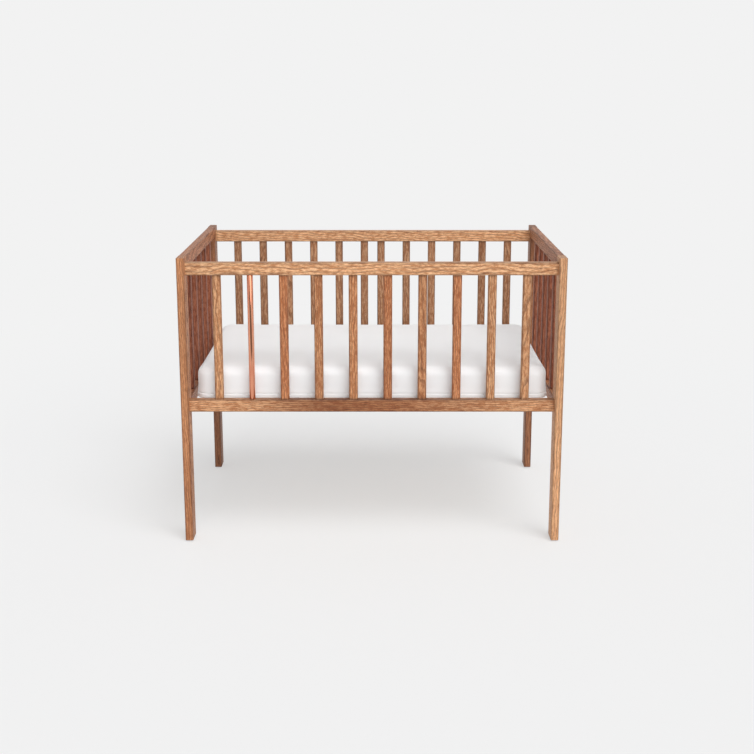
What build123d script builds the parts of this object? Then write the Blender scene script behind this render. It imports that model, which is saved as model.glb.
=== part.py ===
from build123d import *
from math import degrees
import os

# A mini crib on long legs: an oak frame with slatted sides, one copper rod in the front,
# a slatted base and a soft mattress. Millimetres, +Z up, +X to the right seen from the front.
# The front, with the copper rod, faces -Y. The origin is the footprint's centre on the floor.

# Legs: width is along X, depth along Y
leg_top = 740.0
leg_width = 20.0
leg_depth = 45.0
leg_round = 2.5
leg_end_round = 1.2
clear_length = 920.0
clear_width = 485.0

# Rails
rail_height = 32.0
rail_thick = 20.0
rail_round = 3.0
side_rail_drop = 13.0
bottom_rail_top = 376.0

# Slats and the copper rod
slat_width = 22.0
slat_thick = 13.0
slat_round = 5.0
front_slats = 9
back_slats = 12
end_slats = 5
back_middle_gap = 27.0
rod_place = 1
rod_diameter = 15.0
rod_wall = 1.0
rod_seat = 12.0

# Wood joints: round-ended tenons in mortises that are a little deeper
tenon_shoulder = 3.0
slat_tenon_thick = 8.0
slat_tenon_length = 10.0
rail_tenon_shoulder = 5.0
rail_tenon_thick = 8.0
rail_tenon_length = 14.0
fit = 0.15
end_play = 0.5

# Bolts through the legs into barrel nuts let in from below, with a dowel above each bolt
bolt_diameter = 6.0
bolt_play = 0.5
bolt_head = 15.0
bolt_head_height = 2.8
bolt_key = 4.0
bolt_key_depth = 2.0
bolt_recess = 3.0
bolt_below = 7.0
bolt_past_nut = 3.0
nut_diameter = 10.0
nut_length = 15.0
nut_inset = 35.0
dowel_diameter = 8.0
dowel_above = 8.0
dowel_in_leg = 12.0
dowel_in_rail = 18.0

# Mattress base
base_drop = 5.0
base_slats = 7
base_slat_width = 70.0
base_slat_thick = 10.0
base_slat_round = 2.0
base_slat_play = 1.0
cleat_size = 16.0
cleat_round = 2.0
cleat_margin = 4.0
screw_diameter = 4.0
screw_head = 8.0
screw_head_height = 2.4
screw_point = 4.0
slat_screw_length = 25.0
cleat_screw_length = 30.0
cleat_screw_gaps = (-2.5, -0.5, 0.5, 2.5)

# Mattress
mattress_end_gap = 10.0
mattress_side_gap = 5.0
mattress_edge_height = 82.0
mattress_crown = 6.0
mattress_draw_in = 4.0
mattress_corner = 34.0
mattress_rim = 14.0
mattress_lift_off = 0.3
cover_wall = 2.0
core_play = 0.3

# Foot glides
glide_diameter = 15.0
glide_height = 3.0
glide_round = 1.0
glide_pin_diameter = 3.0
glide_pin_length = 12.0

# Places worked out from the sizes above
leg_x = (clear_length + leg_width) / 2
leg_y = (clear_width + leg_depth) / 2
side_top_z = leg_top - side_rail_drop - rail_height / 2
end_top_z = leg_top - rail_height / 2
bottom_z = bottom_rail_top - rail_height / 2
bed_width = 2 * leg_y - rail_thick
base_top = bottom_rail_top - base_drop
cleat_top = base_top - base_slat_thick
cleat_y = (bed_width - cleat_size) / 2
base_pitch = (clear_length + base_slat_width) / (base_slats + 1)
base_slat_x = [(i - (base_slats - 1) / 2) * base_pitch for i in range(base_slats)]
cleat_screw_x = [gap * base_pitch for gap in cleat_screw_gaps]
cleat_screw_z = cleat_top - cleat_size / 2


def row_centres(span, widths, middle_gap=None):
    """Centres of a row of pieces with equal gaps, or with a set gap at the middle."""
    count = len(widths) + 1
    free = span - sum(widths)
    equal_gap = free / count if middle_gap is None else (free - middle_gap) / (count - 1)
    gaps = [equal_gap] * count
    if middle_gap is not None:
        gaps[count // 2] = middle_gap
    centres, edge = [], -span / 2
    for gap, width in zip(gaps, widths):
        centres.append(edge + gap + width / 2)
        edge += gap + width
    return centres


front_widths = [slat_width] * front_slats
front_widths.insert(rod_place, rod_diameter)
front_x = row_centres(clear_length, front_widths)
rod_x = front_x.pop(rod_place)
back_x = row_centres(clear_length, [slat_width] * back_slats, back_middle_gap)
end_y = row_centres(clear_width, [slat_width] * end_slats)


def bar(start, end, diameter):
    """A round bar, or the cutter for its hole, from one point to another."""
    run = Vector(*end) - Vector(*start)
    return Solid.make_cylinder(diameter / 2, run.length, Plane(origin=start, z_dir=run))


def only_solid(shape):
    """The single solid that a cut or a fillet leaves."""
    (solid,) = shape.solids()
    return solid


def rounded_beam(x, y, z, axis, radius):
    """A rectangular beam centred on the origin, with its four long edges rounded."""
    beam = Box(x, y, z)
    return fillet(beam.edges().filter_by(axis), radius)


def tongue(width, thick, length, grow=0.0):
    """A round-ended tenon rising from the origin along Z, or its mortise when grown."""
    return extrude(SlotOverall(width + 2 * grow, thick + 2 * grow), length)


def slat_tongue(grow=0.0, deeper=0.0):
    """A slat's tenon along Z, wide along X."""
    return tongue(slat_width - 2 * tenon_shoulder, slat_tenon_thick, slat_tenon_length + deeper, grow)


def rail_tongue(grow=0.0, deeper=0.0):
    """An end rail's tenon along Y, tall along Z."""
    height = rail_height - 2 * rail_tenon_shoulder
    shape = tongue(height, rail_tenon_thick, rail_tenon_length + deeper, grow)
    return Rot(-90, 0, 0) * Rot(0, 0, 90) * shape


def slat(top, bottom):
    """An upright slat with eased edges and a shouldered tenon at each end."""
    length = top - bottom
    blade = extrude(RectangleRounded(slat_width, slat_thick, slat_round), length)
    tenons = [Pos(0, 0, length) * slat_tongue(), Rot(180, 0, 0) * slat_tongue()]
    return Pos(0, 0, bottom) * only_solid(blade + tenons)


def slat_mortises(places, level, slats_above, turn=0):
    """Mortises for a row of slats, cut into the rail face at a level, away from the slats."""
    cutter = Rot(0, 0, turn) * slat_tongue(fit, end_play)
    cutter = Rot(180 if slats_above else 0, 0, 0) * cutter
    return [Pos(x, y, level) * cutter for x, y in places]


def leg(x_side, y_side):
    """A leg with its end rail mortises, bolt and dowel holes and glide pin hole."""
    x, y, height = x_side * leg_x, y_side * leg_y, leg_top - glide_height
    post = rounded_beam(leg_width, leg_depth, height, Axis.Z, leg_round)
    faces = post.faces().sort_by(Axis.Z)
    post = fillet(faces[0].edges() + faces[-1].edges(), leg_end_round)
    post = Pos(x, y, glide_height + height / 2) * post

    pin_top = glide_height + glide_pin_length + end_play
    cuts = [bar((x, y, glide_height), (x, y, pin_top), glide_pin_diameter + 2 * fit)]
    mortise = Rot(0, 0, 0 if y_side > 0 else 180) * rail_tongue(fit, end_play)
    cuts += [Pos(x, y_side * clear_width / 2, z) * mortise for z in (end_top_z, bottom_z)]
    inner, outer = x_side * clear_length / 2, x_side * (clear_length / 2 + leg_width)
    recess_floor = outer - x_side * bolt_recess
    dowel_end = inner + x_side * (dowel_in_leg + end_play)
    for z in (side_top_z, bottom_z):
        low, high = z - bolt_below, z + dowel_above
        cuts.append(bar((inner, y, low), (outer, y, low), bolt_diameter + 2 * bolt_play))
        cuts.append(bar((recess_floor, y, low), (outer, y, low), bolt_head + 2 * bolt_play))
        cuts.append(bar((inner, y, high), (dowel_end, y, high), dowel_diameter + 2 * fit))
    return only_solid(post - cuts)


def end_rail(x_side, z, slats_above):
    """A rail across one end, tenoned into both legs, with mortises for the end slats."""
    beam = rounded_beam(rail_thick, clear_width, rail_height, Axis.Y, rail_round)
    tenon = Pos(0, clear_width / 2, 0) * rail_tongue()
    beam += [tenon, Rot(0, 0, 180) * tenon]
    face = rail_height / 2 if slats_above else -rail_height / 2
    beam -= slat_mortises([(0, y) for y in end_y], face, slats_above, 90)
    return Pos(x_side * leg_x, 0, z) * only_solid(beam)


def side_rail(y_side, z, slat_places, slats_above):
    """A front or back rail: slat mortises, and bolt, nut and dowel holes at each end."""
    y, underside = y_side * leg_y, z - rail_height / 2
    beam = Pos(0, y, z) * rounded_beam(clear_length, rail_thick, rail_height, Axis.X, rail_round)
    face = z + rail_height / 2 if slats_above else underside
    cuts = slat_mortises([(x, y) for x in slat_places], face, slats_above)
    nut_top = z - bolt_below + nut_length / 2 + end_play
    for x_side in (-1, 1):
        end, low, high = x_side * clear_length / 2, z - bolt_below, z + dowel_above
        nut_x = end - x_side * nut_inset
        bolt_end = nut_x - x_side * (nut_diameter / 2 + bolt_past_nut + end_play)
        dowel_end = end - x_side * (dowel_in_rail + end_play)
        cuts.append(bar((end, y, low), (bolt_end, y, low), bolt_diameter + 2 * bolt_play))
        cuts.append(bar((nut_x, y, underside), (nut_x, y, nut_top), nut_diameter + 2 * fit))
        cuts.append(bar((end, y, high), (dowel_end, y, high), dowel_diameter + 2 * fit))
    return beam - cuts


def rod_sockets():
    """The blind round sockets in the front rails: the rod stands in the lower, with play above."""
    low, high = bottom_rail_top, side_top_z - rail_height / 2
    spans = ((low - rod_seat, low), (high, high + rod_seat + end_play))
    return [bar((rod_x, -leg_y, start), (rod_x, -leg_y, end), rod_diameter + 2 * fit) for start, end in spans]


def copper_rod():
    """A straight tube, seated on the floor of the lower socket."""
    bottom = bottom_rail_top - rod_seat
    top = side_top_z - rail_height / 2 + rod_seat
    low, high = (rod_x, -leg_y, bottom), (rod_x, -leg_y, top)
    return bar(low, high, rod_diameter) - bar(low, high, rod_diameter - 2 * rod_wall)


def screw(length, grow=0.0):
    """A countersunk wood screw with its flat head at the origin, pointing down."""
    head, shank = screw_head / 2 + grow, screw_diameter / 2 + grow
    end = -length - grow
    points = [(0, 0), (head, 0), (shank, -screw_head_height), (shank, end + screw_point), (0, end)]
    profile = Plane.XZ * make_face(Polyline(*points, close=True))
    return revolve(profile, Axis.Z)


def placed_screws(grow=0.0):
    """Every screw of the base: down through the base slats, and outward through the cleats."""
    down, outward = [], []
    for y_side in (-1, 1):
        for x in base_slat_x:
            down.append(Pos(x, y_side * cleat_y, base_top) * screw(slat_screw_length, grow))
        for x in cleat_screw_x:
            turn = Rot(90 * y_side, 0, 0)
            place = Pos(x, y_side * (cleat_y - cleat_size / 2), cleat_screw_z)
            outward.append(place * turn * screw(cleat_screw_length, grow))
    return down, outward


slat_screw_holes, cleat_screw_holes = placed_screws(fit)


def cleat(y_side):
    """The ledger inside a bottom rail that carries the base slats."""
    length = 2 * (max(base_slat_x) + base_slat_width / 2 + cleat_margin)
    ledger = rounded_beam(length, cleat_size, cleat_size, Axis.X, cleat_round)
    ledger = Pos(0, y_side * cleat_y, cleat_top - cleat_size / 2) * ledger
    return only_solid(ledger - slat_screw_holes - cleat_screw_holes)


def base_slat(x):
    """A flat board across the base, screwed down to both cleats."""
    board = rounded_beam(base_slat_width, bed_width - 2 * base_slat_play, base_slat_thick, Axis.Y,
                         base_slat_round)
    board = Pos(x, 0, base_top - base_slat_thick / 2) * board
    return only_solid(board - slat_screw_holes)


def connector_bolt(x_side, y_side, z):
    """A flat-headed bolt in its recess, with a hexagonal key socket, through the barrel nut."""
    seat = x_side * (clear_length / 2 + leg_width - bolt_recess)
    tip = x_side * (clear_length / 2 - nut_inset - nut_diameter / 2 - bolt_past_nut)
    y, low = y_side * leg_y, z - bolt_below
    face = seat + x_side * bolt_head_height
    key_plane = Plane(origin=(face, y, low), z_dir=(-x_side, 0, 0))
    key = extrude(key_plane * RegularPolygon(bolt_key / 2, 6, major_radius=False), bolt_key_depth)
    body = bar((seat, y, low), (face, y, low), bolt_head) + bar((seat, y, low), (tip, y, low), bolt_diameter)
    return only_solid(body - key)


def barrel_nut(x_side, y_side, z):
    """An upright cross dowel nut in the rail, with its bore in line with the bolt."""
    x, y, low = x_side * (clear_length / 2 - nut_inset), y_side * leg_y, z - bolt_below
    body = bar((x, y, low - nut_length / 2), (x, y, low + nut_length / 2), nut_diameter)
    bore = bar((x - nut_diameter, y, low), (x + nut_diameter, y, low), bolt_diameter + 2 * fit)
    return only_solid(body - bore)


def dowel(x_side, y_side, z):
    """A wooden dowel across the joint of a leg and a side rail."""
    joint, y, high = x_side * clear_length / 2, y_side * leg_y, z + dowel_above
    return bar((joint + x_side * dowel_in_leg, y, high), (joint - x_side * dowel_in_rail, y, high),
               dowel_diameter)


def glide(x_side, y_side):
    """A plastic foot glide with its pin driven into the end of the leg."""
    pad = Pos(0, 0, glide_height / 2) * Cylinder(glide_diameter / 2, glide_height)
    pad = chamfer(pad.edges().sort_by(Axis.Z)[0], glide_round)
    pin = bar((0, 0, glide_height), (0, 0, glide_height + glide_pin_length), glide_pin_diameter)
    return Pos(x_side * leg_x, y_side * leg_y, 0) * only_solid(pad + pin)


def cushion(inset):
    """The mattress's form, or what lies a given depth inside it: crown, soft rims, drawn-in sides."""
    x = clear_length / 2 - mattress_end_gap - inset
    y = bed_width / 2 - mattress_side_gap - inset
    edge, pull = mattress_edge_height - 2 * inset, mattress_draw_in
    sides = [ThreePointArc((-x, -y), (0, pull - y), (x, -y)), ThreePointArc((x, -y), (x - pull, 0), (x, y)),
             ThreePointArc((x, y), (0, y - pull), (-x, y)), ThreePointArc((-x, y), (pull - x, 0), (-x, -y))]
    block = extrude(make_face(sides), edge + 2 * mattress_crown)
    block = fillet(block.edges().filter_by(Axis.Z), mattress_corner - inset)

    across = [Polyline((-y, edge), (-y, -edge), (y, -edge), (y, edge)),
              ThreePointArc((-y, edge), (0, edge + mattress_crown), (y, edge))]
    crown_radius = (x * x + mattress_crown ** 2) / (2 * mattress_crown)
    crown_axis = Axis((0, 0, edge + mattress_crown - crown_radius), (0, 1, 0))
    half_turn = degrees(2 * x / crown_radius)
    block &= revolve((Plane.YZ * make_face(across)).rotate(crown_axis, -half_turn), crown_axis, 2 * half_turn)

    for rim in (0, -1):
        block = fillet(block.faces().sort_by(Axis.Z)[rim].edges(), mattress_rim - inset)
    return Pos(0, 0, base_top + mattress_lift_off + inset) * only_solid(block)


def save(name, *solids):
    """Write one node: a single solid, or a group of separate ones."""
    shape = solids[0] if len(solids) == 1 else Compound(children=list(solids))
    shape.label = name
    export_step(shape, f"parts/{name}.step")


os.makedirs("parts", exist_ok=True)
corners = [(x_side, y_side) for x_side in (-1, 1) for y_side in (-1, 1)]
end_names, side_names = {-1: "left", 1: "right"}, {-1: "front", 1: "back"}
joints = [(x_side, y_side, z) for x_side, y_side in corners for z in (side_top_z, bottom_z)]

for x_side, y_side in corners:
    save(f"{side_names[y_side]}_{end_names[x_side]}_leg", leg(x_side, y_side))

end_slat = Rot(0, 0, 90) * slat(end_top_z - rail_height / 2, bottom_rail_top)
for x_side, end in end_names.items():
    save(f"{end}_end_top_rail", end_rail(x_side, end_top_z, False))
    save(f"{end}_end_bottom_rail", end_rail(x_side, bottom_z, True))
    for number, y in enumerate(end_y, 1):
        save(f"{end}_end_slat_{number}", Pos(x_side * leg_x, y, 0) * end_slat)

side_slat = slat(side_top_z - rail_height / 2, bottom_rail_top)
sockets = rod_sockets()
for y_side, side, places in ((-1, "front", front_x), (1, "back", back_x)):
    top_rail = side_rail(y_side, side_top_z, places, False)
    bottom_rail = side_rail(y_side, bottom_z, places, True)
    save(f"{side}_top_rail", only_solid(top_rail - sockets))
    save(f"{side}_bottom_rail", only_solid(bottom_rail - sockets - cleat_screw_holes))
    save(f"{side}_cleat", cleat(y_side))
    for number, x in enumerate(places, 1):
        save(f"{side}_slat_{number}", Pos(x, y_side * leg_y, 0) * side_slat)
save("copper_rod", copper_rod())

for number, x in enumerate(base_slat_x, 1):
    save(f"base_slat_{number}", base_slat(x))

outer, inner = cushion(0), cushion(cover_wall)
save("mattress_cover", only_solid(outer - inner))
save("mattress_core", cushion(cover_wall + core_play))

down_screws, outward_screws = placed_screws()
save("base_screws", *down_screws, *outward_screws)
save("connector_bolts", *[connector_bolt(*joint) for joint in joints])
save("barrel_nuts", *[barrel_nut(*joint) for joint in joints])
save("locating_dowels", *[dowel(*joint) for joint in joints])
save("foot_glides", *[glide(*corner) for corner in corners])
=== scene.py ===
import math

import bpy
import numpy as np
from mathutils.kdtree import KDTree
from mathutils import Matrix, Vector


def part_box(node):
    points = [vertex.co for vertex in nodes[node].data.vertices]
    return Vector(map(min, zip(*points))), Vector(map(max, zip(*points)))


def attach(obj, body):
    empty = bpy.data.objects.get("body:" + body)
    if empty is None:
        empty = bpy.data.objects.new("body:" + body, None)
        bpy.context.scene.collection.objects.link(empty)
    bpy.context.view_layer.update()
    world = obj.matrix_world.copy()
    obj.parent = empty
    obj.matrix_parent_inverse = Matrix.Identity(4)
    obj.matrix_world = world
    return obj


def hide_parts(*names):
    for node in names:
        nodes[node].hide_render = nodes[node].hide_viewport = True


# A mini crib on long legs: an oiled oak frame with slatted sides, one polished copper rod
# among the front slats, a slatted base and a white mattress.
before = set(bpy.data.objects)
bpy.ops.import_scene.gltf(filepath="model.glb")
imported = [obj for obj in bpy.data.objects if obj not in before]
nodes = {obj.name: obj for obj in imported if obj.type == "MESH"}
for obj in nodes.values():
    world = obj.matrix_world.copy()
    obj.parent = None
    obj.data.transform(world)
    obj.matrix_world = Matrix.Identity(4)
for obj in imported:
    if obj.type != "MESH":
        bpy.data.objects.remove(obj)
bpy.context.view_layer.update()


# The oak frame: solid boards, planed, eased at the edges, stained a medium brown and oiled.
# Each is sawn from its own place in the log, so growth rings meet its faces as arches or as
# straight lines, with dark open pores along the grain. Boards are tenoned or bolted together.
class Wire:
    """A shader socket that arithmetic works on: each operator adds a Math node."""

    def __init__(self, tree, socket):
        self.tree, self.socket = tree, socket

    def node(self, kind, values=(), output=0, **settings):
        """Another node of this tree: its settings first, then its inputs' values or links."""
        made = self.tree.nodes.new("ShaderNode" + kind)
        for name, value in settings.items():
            setattr(made, name, value)
        for name, value in dict(values).items():
            socket = made.inputs[name]
            if isinstance(value, Wire):
                self.tree.links.new(value.socket, socket)
            else:
                socket.default_value = (*value, 1) if socket.type == "RGBA" else value
        return Wire(self.tree, made.outputs[output])

    def math(self, operation, *others):
        inputs = dict(enumerate((self, *others)))
        return self.node("Math", inputs, operation=operation)

    def __add__(self, other):
        return self.math("ADD", other)

    def __radd__(self, other):
        return self.math("ADD", other)

    def __sub__(self, other):
        return self.math("SUBTRACT", other)

    def __rsub__(self, other):
        return self.node("Math", {0: other, 1: self}, operation="SUBTRACT")

    def __mul__(self, other):
        return self.math("MULTIPLY", other)

    def __rmul__(self, other):
        return self.math("MULTIPLY", other)

    def __truediv__(self, other):
        return self.math("DIVIDE", other)

    def step(self, low, high):
        """0 below low, 1 above high and a smooth rise between, or a fall where high is below."""
        if low > high:
            return 1 - self.step(high, low)
        values = {"Value": self, "From Min": low, "From Max": high}
        return self.node("MapRange", values, interpolation_type="SMOOTHSTEP")

    def noise(self, scale=1.0, detail=2.0, roughness=0.5):
        """Noise read at this vector."""
        values = {"Vector": self, "Scale": scale, "Detail": detail, "Roughness": roughness}
        return self.node("TexNoise", values)

    def mix(self, first, second):
        """A colour: the first where this is 0, the second where it is 1."""
        return self.node("Mix", {0: self, 6: first, 7: second}, output=2, data_type="RGBA")

    def times(self, number):
        """This colour made lighter or darker by a number, or tinted by a colour."""
        if isinstance(number, tuple):
            return self.node("VectorMath", {0: self, 1: number}, operation="MULTIPLY")
        return self.node("VectorMath", {0: self, "Scale": number}, operation="SCALE")

    def split(self):
        """The three parts of this vector."""
        return [self.node("SeparateXYZ", {0: self}, output=part) for part in range(3)]


def new_finish(name, values=()):
    """A material: its shader node, and its points' places on the object, in metres."""
    material = bpy.data.materials.new(name)
    material.use_nodes = True
    tree = material.node_tree
    shader = tree.nodes["Principled BSDF"]
    for socket, value in dict(values).items():
        shader.inputs[socket].default_value = value
    return material, shader, Wire(tree, tree.nodes.new("ShaderNodeTexCoord").outputs["Object"])


def feed(shader, socket, value):
    """Links a worked-out value to one socket of the shader."""
    value.tree.links.new(value.socket, shader.inputs[socket])


def wear(shader, place, height, depth_mm, strength=1.0):
    """Relief on the shader: a height from 0 to 1, as deep as the given millimetres."""
    values = {"Height": height, "Distance": depth_mm / 1000, "Strength": strength}
    feed(shader, "Normal", place.node("Bump", values))


OAK = dict(pale=(0.760, 0.415, 0.195), mid=(0.460, 0.185, 0.065), deep=(0.235, 0.080, 0.026),
           pore=(0.085, 0.028, 0.012), ring=0.0048)


def board_finish(name, corners, grain, wood, seed, tone=(1, 1, 1), shoulder=0.0, patch=None,
                 painted_top_shade=0.0):
    """Sawn wood. The ring at a point is its distance from the log's middle line, which wavers and
    leans along the board, over the ring width. Each ring starts with a dark band of open pores,
    short dashes along the grain. Rays are thin flakes that stand across the rings: fine lines on
    one face, pale flecks on the other. Shade is painted along the eased edges, by the slats'
    shoulders where they go into the rails, and on the top face by a given share. The edges are
    rubbed pale here and there, and the board is darker in a patch given by its middle, its reach
    and its share."""
    chance = np.random.default_rng(seed)
    low, high = (np.array(corner) for corner in corners)
    centre, half = (low + high) / 2, (high - low) / 2
    order = {"x": (0, 1, 2), "y": (1, 2, 0), "z": (2, 0, 1)}[grain]
    material, shader, place = new_finish(name, {"Specular IOR Level": 0.45})

    moved = place.node("VectorMath", {0: place, 1: tuple(centre)}, operation="SUBTRACT").split()
    along, across, other = (moved[i] for i in order)
    own_place = chance.uniform(-7, 7, 3)
    turn, heart = chance.uniform(0, 2 * math.pi), chance.uniform(0.030, 0.075)
    lean = chance.uniform(-0.05, 0.05)
    run = along + own_place[0]
    inward = across * math.cos(turn) + other * math.sin(turn)
    sideways = other * math.cos(turn) - across * math.sin(turn)

    def drawn_out(length, width, detail=2, roughness=0.5):
        """Noise whose marks are this long along the grain and this wide across it, in metres."""
        parts = {0: run / length, 1: (across + own_place[1]) / width,
                 2: (other + own_place[2]) / width}
        return run.node("CombineXYZ", parts).noise(detail=detail, roughness=roughness)

    waver = (drawn_out(0.16, 0.09) - 0.5) * 0.020 + (drawn_out(0.035, 0.030, 1) - 0.5) * 0.0045
    depth = inward + heart + along * lean + waver
    ring = (depth * depth + sideways * sideways).math("SQRT") / wood["ring"]
    ring = (ring + drawn_out(0.05, 0.004) * 0.5).math("FRACT")
    early = ring.step(0.60, 0.12) * ring.step(0.0, 0.10)
    dashes = drawn_out(0.013, 0.00040, 2, 0.6)
    pores = (dashes + early * 0.11).step(0.59, 0.67)
    ray_length, ray_height, ray_width = 0.011, 0.014, 0.0006
    parts = {0: run / ray_length, 1: (inward + own_place[1]) / ray_height,
             2: (sideways + own_place[2]) / ray_width}
    rays = run.node("CombineXYZ", parts).noise(detail=1).step(0.64, 0.70)
    mottle = drawn_out(0.016, 0.0048, 3, 0.65)
    streaks = drawn_out(0.40, 0.007, 2, 0.6)
    fibre = drawn_out(0.05, 0.0009, 2)
    cloud = drawn_out(0.35, 0.20, 1)

    colour = mottle.step(0.38, 0.62).mix(wood["mid"], wood["pale"])
    colour = (streaks.step(0.50, 0.76) * 0.45).mix(colour, wood["deep"])
    colour = (early * mottle.step(0.30, 0.62) * 0.55).mix(colour, wood["deep"])
    colour = colour.times(0.68 + fibre * 0.28 + cloud * 0.36)
    colour = (rays * 0.30).mix(colour, wood["pale"])
    colour = (pores * 0.70).mix(colour, wood["pore"])
    if patch:
        middle, reach, share = patch
        off = (along - middle).math("ABSOLUTE") + (cloud - 0.5) * 0.25
        darkened = colour.times((0.45, 0.3, 0.2))
        colour = (off.step(reach, reach * 0.25) * share).mix(colour, darkened)

    # Painted shade: the colour darkens by about a third within 4 mm of the board's long edges.
    margins = [half[i] - moved[i].math("ABSOLUTE") for i in order[1:]]
    from_edge = margins[0].math("MAXIMUM", margins[1])
    colour = colour.times(1 - from_edge.step(0.0042, 0.0014) * 0.34)
    rub = from_edge.step(0.0022, 0.0008) * drawn_out(0.03, 0.02).step(0.50, 0.66)
    colour = (rub * 0.40).mix(colour, wood["pale"])
    # Painted shade: a slat darkens over the 7 mm next to where it goes into a rail.
    if shoulder:
        to_rail = half[order[0]] - shoulder - along.math("ABSOLUTE")
        colour = colour.times(1 - to_rail.step(0.007, 0.0) * 0.38)
    # Painted shade: the top face darkens by the given share, within about a millimetre of the
    # top.
    if painted_top_shade:
        colour = colour.times(1 - (half[2] - moved[2]).step(0.0011, 0.0004) * painted_top_shade)
    facing = place.node("TexCoord", output="Normal").split()[order[0]]
    end_grain = facing.math("ABSOLUTE").step(0.6, 0.9)
    colour = colour.times(1 - end_grain * 0.30)
    feed(shader, "Base Color", colour.times(tone))
    feed(shader, "Roughness", 0.40 + pores * 0.25 + fibre * 0.16 - rays * 0.08 - rub * 0.05)
    wear(shader, place, fibre * 0.3 - early * 0.3 - pores, 0.12, 0.9)
    return material


def dress(node, material):
    """Gives a CAD piece its finish in every material slot."""
    for place in nodes[node].material_slots:
        place.material = material


# The boards are not matched: each has one of a few rough shades, and a slat is a little lighter
# or darker by chance. The shades are in part painted light: 'palest' and 'pale' paint light and
# sheen on the top rails and the boards at the right, and 'dark', 'deep' and 'dark red' paint
# shade on the back legs and on the end rails and end slats, whose inner faces are seen. The legs
# are cut from plainer wood.
CALM_OAK = {**OAK, "pale": (0.690, 0.355, 0.160), "mid": (0.530, 0.240, 0.098)}
TONES_AND_PAINTED_LIGHT = {"palest": (1.2, 1.3, 1.5), "pale": (1.05, 1.05, 1.15), "plain": (0.95, 0.85, 0.85),
          "reddish": (0.9, 0.7, 0.65), "deep": (0.75, 0.6, 0.6), "brown": (0.7, 0.7, 0.8),
          "dark": (0.55, 0.45, 0.45), "dark red": (0.5, 0.3, 0.3)}

# Each leg and rail has its shade, its darker patch or none, and the share of painted shade on
# its top face.
legs = {"front_left_leg": ("plain", (-0.3, 0.3, 0.4)), "front_right_leg": ("palest", None),
        "back_left_leg": ("dark", None), "back_right_leg": ("dark", None)}
# Painted light and shade: the back legs' dark shade stands for the shade under the bed, the front
# right leg's palest shade for light and sheen.
for seed, (leg, (shade, patch)) in enumerate(legs.items(), 11):
    dress(leg, board_finish(leg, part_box(leg), "z", CALM_OAK, seed, TONES_AND_PAINTED_LIGHT[shade], patch=patch))

side_rails = {"front_top_rail": ("palest", None, 0.3),
              "front_bottom_rail": ("pale", (0.0, 0.35, 0.9), 0.4),
              "back_top_rail": ("palest", None, 0.15), "back_bottom_rail": ("plain", None, 0.4)}
# Painted light: the top rails' palest shade; each rail also gets painted shade on its top face.
for seed, (rail, (shade, patch, painted_top_shade)) in enumerate(side_rails.items(), 36):
    dress(rail, board_finish(rail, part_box(rail), "x", OAK, seed, TONES_AND_PAINTED_LIGHT[shade], patch=patch,
                             painted_top_shade=painted_top_shade))

end_rails = [f"{end}_end_{level}_rail" for end in ("left", "right")
             for level in ("top", "bottom")]
# Painted shade: the end rails' deep shade, and painted shade on their top faces.
for seed, rail in enumerate(end_rails, 51):
    dress(rail, board_finish(rail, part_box(rail), "y", OAK, seed, TONES_AND_PAINTED_LIGHT["deep"], painted_top_shade=0.2))

slats = sorted(name for name in nodes if "_slat_" in name and not name.startswith("base"))
SLAT_TENON = 0.010
FRONT_SLATS = "pale reddish plain plain reddish plain reddish pale pale".split()
# Painted shade in the end slats' dark red; painted light in the pale shade of the front slats at
# the right.
for seed, slat in enumerate(slats, 71):
    side, _, number = slat.replace("_end", "").split("_")
    if side == "front":
        shade = FRONT_SLATS[int(number) - 1]
    else:
        shade = "brown" if side == "back" else "dark red"
    lightness = np.random.default_rng(seed).uniform(0.90, 1.08)
    tone = tuple(lightness * part for part in TONES_AND_PAINTED_LIGHT[shade])
    dress(slat, board_finish(slat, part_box(slat), "z", OAK, seed, tone, SLAT_TENON))


# The base: seven planed pine boards screwed down to two pine cleats inside the bottom rails.
# It is bare wood, paler than the frame, and shows only from below and between the slats.
PINE = dict(pale=(0.720, 0.520, 0.310), mid=(0.660, 0.440, 0.240), deep=(0.480, 0.270, 0.120),
            pore=(0.450, 0.270, 0.130), ring=0.0055)
for seed, board in enumerate(sorted(n for n in nodes if n.startswith("base_slat_")), 131):
    dress(board, board_finish(board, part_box(board), "y", PINE, seed))
for seed, cleat in enumerate(("front_cleat", "back_cleat"), 151):
    dress(cleat, board_finish(cleat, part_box(cleat), "x", PINE, seed))


# The copper rod: a straight polished tube, seated in a round socket in each front rail.
# It is a lathed form, fine enough for its mirror finish, with faint lines round it from
# polishing, and is a little tarnished in places.
def turned(name, outline, centre, around=96):
    """A ring of revolution: each point (radius, height) of a closed outline goes round the
    centre, and the last point's circle joins the first's."""
    radius, height = np.array(outline, float).T
    angle = np.linspace(0, 2 * math.pi, around, endpoint=False)
    x = centre[0] + radius[:, None] * np.cos(angle)
    y = centre[1] + radius[:, None] * np.sin(angle)
    z = np.repeat(height[:, None], around, 1)
    points = np.stack([x, y, z], -1).reshape(-1, 3)
    ring, step = np.meshgrid(np.arange(len(outline)), np.arange(around), indexing="ij")
    after, onward = (ring + 1) % len(outline) * around, (step + 1) % around
    corners = [ring * around + step, ring * around + onward, after + onward, after + step]
    faces = np.stack(corners, -1).reshape(-1, 4)
    mesh = bpy.data.meshes.new(name)
    mesh.from_pydata(points, [], faces.tolist())
    mesh.validate()
    return mesh


def add_piece(name, mesh, body, material):
    """Puts a new mesh, shaded smooth, into the scene as a piece of a body, with its finish."""
    piece = bpy.data.objects.new(name, mesh)
    bpy.context.scene.collection.objects.link(piece)
    mesh.polygons.foreach_set("use_smooth", np.full(len(mesh.polygons), True))
    mesh.materials.append(material)
    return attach(piece, body)


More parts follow.
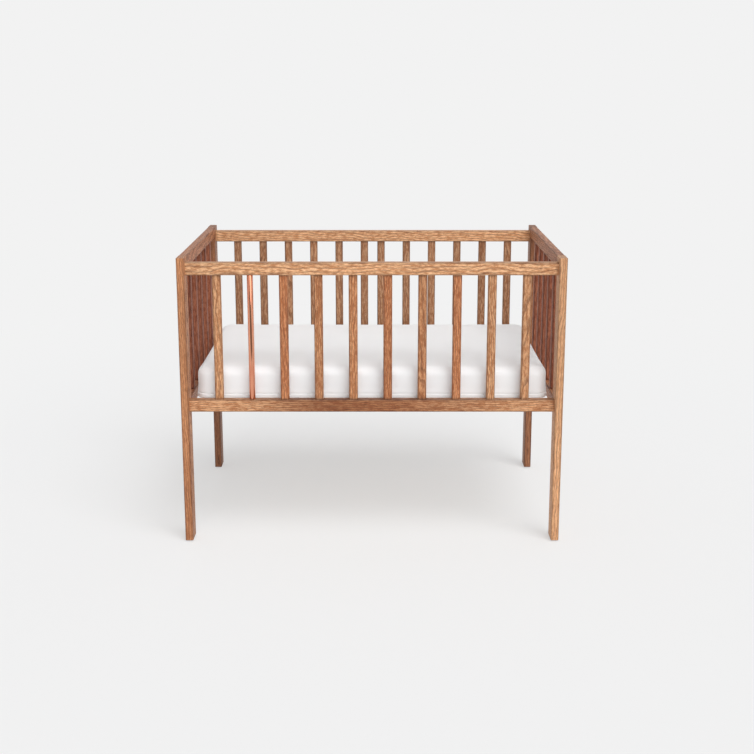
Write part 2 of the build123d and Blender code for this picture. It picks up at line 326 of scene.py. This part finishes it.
material, shader, place = new_finish("polished_copper", {"Metallic": 1.0})
x, y, z = place.split()
polish = place.node("CombineXYZ", {0: x * 40, 1: y * 40, 2: z * 2600}).noise(detail=3)
tarnish = place.noise(scale=14, detail=3)
bright_copper, dull_copper = (0.87, 0.4, 0.25), (0.7, 0.25, 0.15)
feed(shader, "Base Color", (tarnish.step(0.40, 0.70) * 0.7).mix(bright_copper, dull_copper))
feed(shader, "Roughness", 0.10 + polish * 0.07 + tarnish * 0.05)
wear(shader, place, polish, 0.01, 0.3)
low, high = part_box("copper_rod")
rod_radius, rod_wall = (high.x - low.x) / 2, 0.001
ease = 0.0004
rod_bore = rod_radius - rod_wall
rod_outline = [(rod_bore, low.z), (rod_radius - ease, low.z), (rod_radius, low.z + ease),
               (rod_radius, (low.z + high.z) / 2), (rod_radius, high.z - ease),
               (rod_radius - ease, high.z), (rod_bore, high.z)]
rod_mesh = turned("copper_tube", rod_outline, ((low.x + high.x) / 2, (low.y + high.y) / 2))
rod = add_piece("copper_tube", rod_mesh, "crib_frame", material)
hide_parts("copper_rod")


# Fastenings: zinc plated bolts, barrel nuts and screws, and fluted beech dowels. Only the bolt
# heads in the legs' outer faces, the nuts' ends and the screw heads in the base can be seen.
material, shader, place = new_finish("zinc_plate", {"Metallic": 1.0})
clouds = place.noise(scale=260, detail=3)
feed(shader, "Base Color", clouds.step(0.4, 0.7).mix((0.60, 0.60, 0.58), (0.42, 0.42, 0.40)))
feed(shader, "Roughness", 0.28 + clouds * 0.2)
wear(shader, place, place.noise(scale=1800, detail=2), 0.02, 0.4)
for fastening in ("connector_bolts", "barrel_nuts", "base_screws"):
    dress(fastening, material)
dress("locating_dowels", board_finish("beech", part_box("locating_dowels"), "x", PINE, 161))


# The foot glides: nylon discs nailed under the legs, pale grey and slightly scuffed.
material, shader, place = new_finish("glide_nylon")
scuffs = place.noise(scale=900, detail=4, roughness=0.7)
feed(shader, "Base Color", scuffs.step(0.55, 0.75).mix((0.62, 0.58, 0.52), (0.36, 0.33, 0.30)))
feed(shader, "Roughness", 0.42 + scuffs * 0.25)
wear(shader, place, scuffs, 0.05, 0.6)
dress("foot_glides", material)


# The mattress: a foam block in a white knitted cover, 900 x 500 mm, soft at the top edge and the
# corners and crowned on top. A seam runs round the cover a little above its foot. It lies loose.
def rounded_outline(half_x, half_y, corner, count):
    """Points at equal steps round a rectangle with round corners, and their outward normals."""
    quarter = np.linspace(0, math.pi / 2, 24)
    arcs = [np.stack([np.cos(quarter + turn), np.sin(quarter + turn)], 1)
            for turn in (0, math.pi / 2, math.pi, 3 * math.pi / 2)]
    middles = [(half_x - corner, half_y - corner), (corner - half_x, half_y - corner),
               (corner - half_x, corner - half_y), (half_x - corner, corner - half_y)]
    points = np.concatenate([np.array(m) + corner * arc for m, arc in zip(middles, arcs)])
    normals = np.concatenate(arcs)
    loop, loop_normals = np.vstack([points, points[:1]]), np.vstack([normals, normals[:1]])
    run = np.concatenate([[0], np.cumsum(np.linalg.norm(np.diff(loop, axis=0), axis=1))])
    at = np.linspace(0, run[-1], count, endpoint=False)
    spaced = np.stack([np.interp(at, run, loop[:, i]) for i in (0, 1)], 1)
    outward = np.stack([np.interp(at, run, loop_normals[:, i]) for i in (0, 1)], 1)
    return spaced, outward / np.linalg.norm(outward, axis=1, keepdims=True)


def cushion_mesh(name, low, high, corner, rims, seam, crown, draw_in, around=300):
    """A closed cushion. Round it goes a rectangle with round corners, drawn in by a parabola
    between them; over it goes a section: underside, quarter-round foot rim, a groove where the
    seam is, side, top rim, and a top that rises to its crown as the product of two parabolas."""
    half, middle = (np.array(high) - np.array(low)) / 2, (np.array(high) + np.array(low)) / 2
    outline, normals = rounded_outline(half[0], half[1], corner, around)
    pull_x = draw_in * np.clip(1 - (outline[:, 0] / half[0]) ** 2, 0, 1) * np.abs(normals[:, 1])
    pull_y = draw_in * np.clip(1 - (outline[:, 1] / half[1]) ** 2, 0, 1) * np.abs(normals[:, 0])
    outline = outline - normals * (pull_x + pull_y)[:, None]

    turn = np.linspace(0, math.pi / 2, 9)
    foot_rim, top_rim = rims
    seam_height, seam_depth = seam
    foot, edge = low[2], high[2] - crown
    groove = np.linspace(-1, 1, 7)
    seam_inset = seam_depth * (1 + np.cos(math.pi * groove)) / 2
    seam_level = foot + seam_height + 1.2 * seam_depth * groove
    side = np.linspace(seam_level[-1], edge - top_rim, 12)[1:-1]
    inset = np.concatenate([foot_rim * (1 - np.sin(turn)), seam_inset, np.zeros(len(side)),
                            top_rim * (1 - np.cos(turn))])
    level = np.concatenate([foot + foot_rim * (1 - np.cos(turn)), seam_level, side,
                            edge - top_rim * (1 - np.sin(turn))])
    rings = outline[None] - normals[None] * inset[:, None, None]
    shrink = np.linspace(1, 0, 32)[1:-1]
    under = rings[0][None] * shrink[::-3, None, None]
    over = rings[-1][None] * shrink[:, None, None]
    plan = np.concatenate([under, rings, over])
    heights = np.concatenate([np.full(len(under), foot), level, np.full(len(over), edge)])
    rise = crown * np.clip(1 - (plan[..., 0] / (half[0] - top_rim)) ** 2, 0, 1) \
        * np.clip(1 - (plan[..., 1] / (half[1] - top_rim)) ** 2, 0, 1)
    on_top = np.arange(len(plan))[:, None] >= len(under) + len(rings) - 1
    z = heights[:, None] + np.where(on_top, rise, 0)
    poles = [[0, 0, foot], [0, 0, high[2]]]
    points = np.concatenate([np.dstack([plan, z]).reshape(-1, 3), poles])
    points[:, :2] += middle[:2]

    ring, step = np.meshgrid(np.arange(len(plan) - 1), np.arange(around), indexing="ij")
    here, over = ring * around + step, ring * around + (step + 1) % around
    sides = np.stack([here, over, over + around, here + around], -1).reshape(-1, 4)
    last = (len(plan) - 1) * around
    a, b = np.arange(around), (np.arange(around) + 1) % around
    bottom_fan = np.stack([b, a, np.full(around, len(points) - 2)], 1)
    top_fan = np.stack([last + a, last + b, np.full(around, len(points) - 1)], 1)
    mesh = bpy.data.meshes.new(name)
    mesh.from_pydata(points, [], sides.tolist() + bottom_fan.tolist() + top_fan.tolist())
    mesh.validate()
    return mesh


def mesh_points(mesh):
    """Every point of a mesh as rows of x, y, z."""
    flat = np.empty(3 * len(mesh.vertices))
    mesh.vertices.foreach_get("co", flat)
    return flat.reshape(-1, 3)


def fill_cover(mesh, even_step, pressure, slack, most, foot, hold, frames=20):
    """The cover as cloth over its filling. A copy of it, meshed evenly and cut a little too large
    by the slack, is blown out with no gravity for some frames. Each point of the cover then moves
    as the copy's nearest points did, at most so far, and less and less down to the sewn foot."""
    body = bpy.data.objects.new("cover_being_filled", mesh)
    bpy.context.scene.collection.objects.link(body)
    remesh = body.modifiers.new("even", "REMESH")
    remesh.mode, remesh.voxel_size = "VOXEL", even_step
    graph = bpy.context.evaluated_depsgraph_get()
    even = bpy.data.meshes.new_from_object(body.evaluated_get(graph))
    body.modifiers.clear()
    body.data = even
    cloth = body.modifiers.new("cover", "CLOTH")
    cloth.settings.quality, cloth.settings.mass = 6, 0.2
    cloth.settings.use_pressure, cloth.settings.uniform_pressure_force = True, pressure
    cloth.settings.shrink_min = -slack
    cloth.settings.effector_weights.gravity = 0
    cloth.point_cache.frame_start, cloth.point_cache.frame_end = 1, frames
    for frame_number in range(1, frames + 1):
        bpy.context.scene.frame_set(frame_number)
    blown = mesh_points(body.evaluated_get(bpy.context.evaluated_depsgraph_get()).data)
    start = mesh_points(even)
    move = blown - start
    move *= np.minimum(1, most / np.maximum(np.linalg.norm(move, axis=1, keepdims=True), 1e-9))
    bpy.context.scene.frame_set(1)
    bpy.data.objects.remove(body)

    nearest = KDTree(len(start))
    for number, point in enumerate(start):
        nearest.insert(point, number)
    nearest.balance()
    points = mesh_points(mesh)
    found = np.array([[(number, distance) for _, number, distance in nearest.find_n(point, 6)]
                      for point in points])
    weight = 1 / (found[:, :, 1] + 0.002)
    weight /= weight.sum(axis=1, keepdims=True)
    moved = (move[found[:, :, 0].astype(int)] * weight[:, :, None]).sum(axis=1)
    rise = np.clip((points[:, 2] - foot) / hold, 0, 1)
    points += moved * (rise * rise * (3 - 2 * rise))[:, None]
    mesh.vertices.foreach_set("co", points.ravel())
    mesh.update()
    return mesh


material, shader, place = new_finish("white_knit")
x, y, z = place.split()
knit = (x * 4800).math("SINE") * (y * 4800 + z * 4800).math("SINE")
slub = place.node("CombineXYZ", {0: x * 60, 1: y * 900, 2: z * 900}).noise(detail=2)
slack = place.noise(scale=9, detail=3)
fading = slack.step(0.35, 0.8) * 0.4 + slub * 0.2
feed(shader, "Base Color", fading.mix((0.91, 0.92, 0.93), (0.87, 0.88, 0.89)))
feed(shader, "Roughness", 0.82 + slub * 0.12)
wear(shader, place, knit * 0.12 + slub * 0.2 + slack * 1.2, 0.8, 0.5)
low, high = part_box("mattress_cover")
start_low, start_high = (low.x, low.y - 0.001, low.z), (high.x, high.y + 0.001, high.z - 0.002)
mattress_mesh = cushion_mesh("mattress", start_low, start_high, corner=0.034, rims=(0.003, 0.022),
                             seam=(0.0125, 0.0016), crown=0.006, draw_in=0.0015)
mattress_mesh = fill_cover(mattress_mesh, even_step=0.0075, pressure=4.0, slack=0.010,
                           most=0.004, foot=low.z, hold=0.030)
mattress = add_piece("mattress", mattress_mesh, "mattress", material)
smooth = mattress.modifiers.new("smooth", "SUBSURF")
smooth.levels = smooth.render_levels = 1
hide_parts("mattress_cover", "mattress_core")


# The studio: a pale floor that keeps the crib's soft shadow and fades into an even background,
# a very broad key light in front, a lamp nearly overhead that draws the shadow under the bed,
# both a little to the right, and an even light from all round. Metal shows the pale background
# too, and the unlit part of the room in front of the crib.
BACKGROUND = (0.888, 0.888, 0.888)
UNLIT = (0.20, 0.19, 0.18)
ROOM_LIGHT = 0.46
scene = bpy.context.scene
world = bpy.data.worlds.new("studio")
scene.world = world
world.use_nodes = True
tree = world.node_tree
look = Wire(tree, tree.nodes.new("ShaderNodeTexCoord").outputs["Generated"])
x, y, z = look.split()
RAYS = ("Is Camera Ray", "Is Glossy Ray", "Is Transmission Ray")
camera_ray, glossy_ray, clear_ray = (look.node("LightPath", output=ray) for ray in RAYS)
unlit = (x.math("ABSOLUTE") + y * 0.7).step(0.15, -0.20)
seen = (unlit * (1 - camera_ray)).mix(BACKGROUND, UNLIT)
shown = camera_ray.math("MAXIMUM", glossy_ray).math("MAXIMUM", clear_ray)
light = shown.mix((ROOM_LIGHT,) * 3, seen)
tree.links.new(light.socket, tree.nodes["Background"].inputs["Color"])

# Each lamp has its strength, then in degrees its breadth, its lean from overhead towards the
# front, and its turn to the right.
LAMPS = {"key": (0.43, 60, 50, 24), "overhead": (0.31, 32, 25, 36)}
for name, (strength, breadth, lean, turn) in LAMPS.items():
    sun = bpy.data.lights.new(name, "SUN")
    sun.energy, sun.angle = strength * math.pi, math.radians(breadth)
    lamp = bpy.data.objects.new(name, sun)
    lamp.rotation_euler = (math.radians(lean), 0, math.radians(turn))
    scene.collection.objects.link(lamp)

floor_mesh = bpy.data.meshes.new("studio_floor")
reach = 30.0
floor_corners = [(-reach, -reach, 0), (reach, -reach, 0), (reach, reach, 0), (-reach, reach, 0)]
floor_mesh.from_pydata(floor_corners, [], [(0, 1, 2, 3)])
floor = bpy.data.objects.new("studio_floor", floor_mesh)
scene.collection.objects.link(floor)
paper_look = {"Base Color": (0.855, 0.86, 0.865, 1), "Roughness": 0.9, "Specular IOR Level": 0.0}
material, shader, place = new_finish("studio_paper", paper_look)
x, y, z = place.split()
camera_ray, glossy_ray, clear_ray = (place.node("LightPath", output=ray) for ray in RAYS)
unlit = y.step(-0.8, -1.3) * (x.math("ABSOLUTE") + y * 0.7).step(0.15, -0.35) * (1 - camera_ray)
glow = place.node("Emission", {"Color": unlit.mix(BACKGROUND, UNLIT), "Strength": 1.0})
distance = place.node("VectorMath", {0: place}, output="Value", operation="LENGTH")
fade = (0.50 + distance.step(1.0, 2.6) * 0.50).math("MAXIMUM", unlit)
seen = camera_ray.math("MAXIMUM", glossy_ray).math("MAXIMUM", clear_ray)
tree = material.node_tree
paper = place.node("MixShader", {0: fade * seen, 1: Wire(tree, shader.outputs[0]), 2: glow})
tree.links.new(paper.socket, tree.nodes["Material Output"].inputs["Surface"])
floor_mesh.materials.append(material)

lens = bpy.data.cameras.new("camera")
lens.lens, lens.sensor_width, lens.shift_y = 52.9, 36, -0.12
camera = bpy.data.objects.new("camera", lens)
camera.location = (0.0127, -2.9556, 1.2058)
camera.rotation_euler = (math.radians(90 - 11.36), 0, 0)
scene.collection.objects.link(camera)
scene.camera = camera
scene.view_settings.view_transform = "Standard"
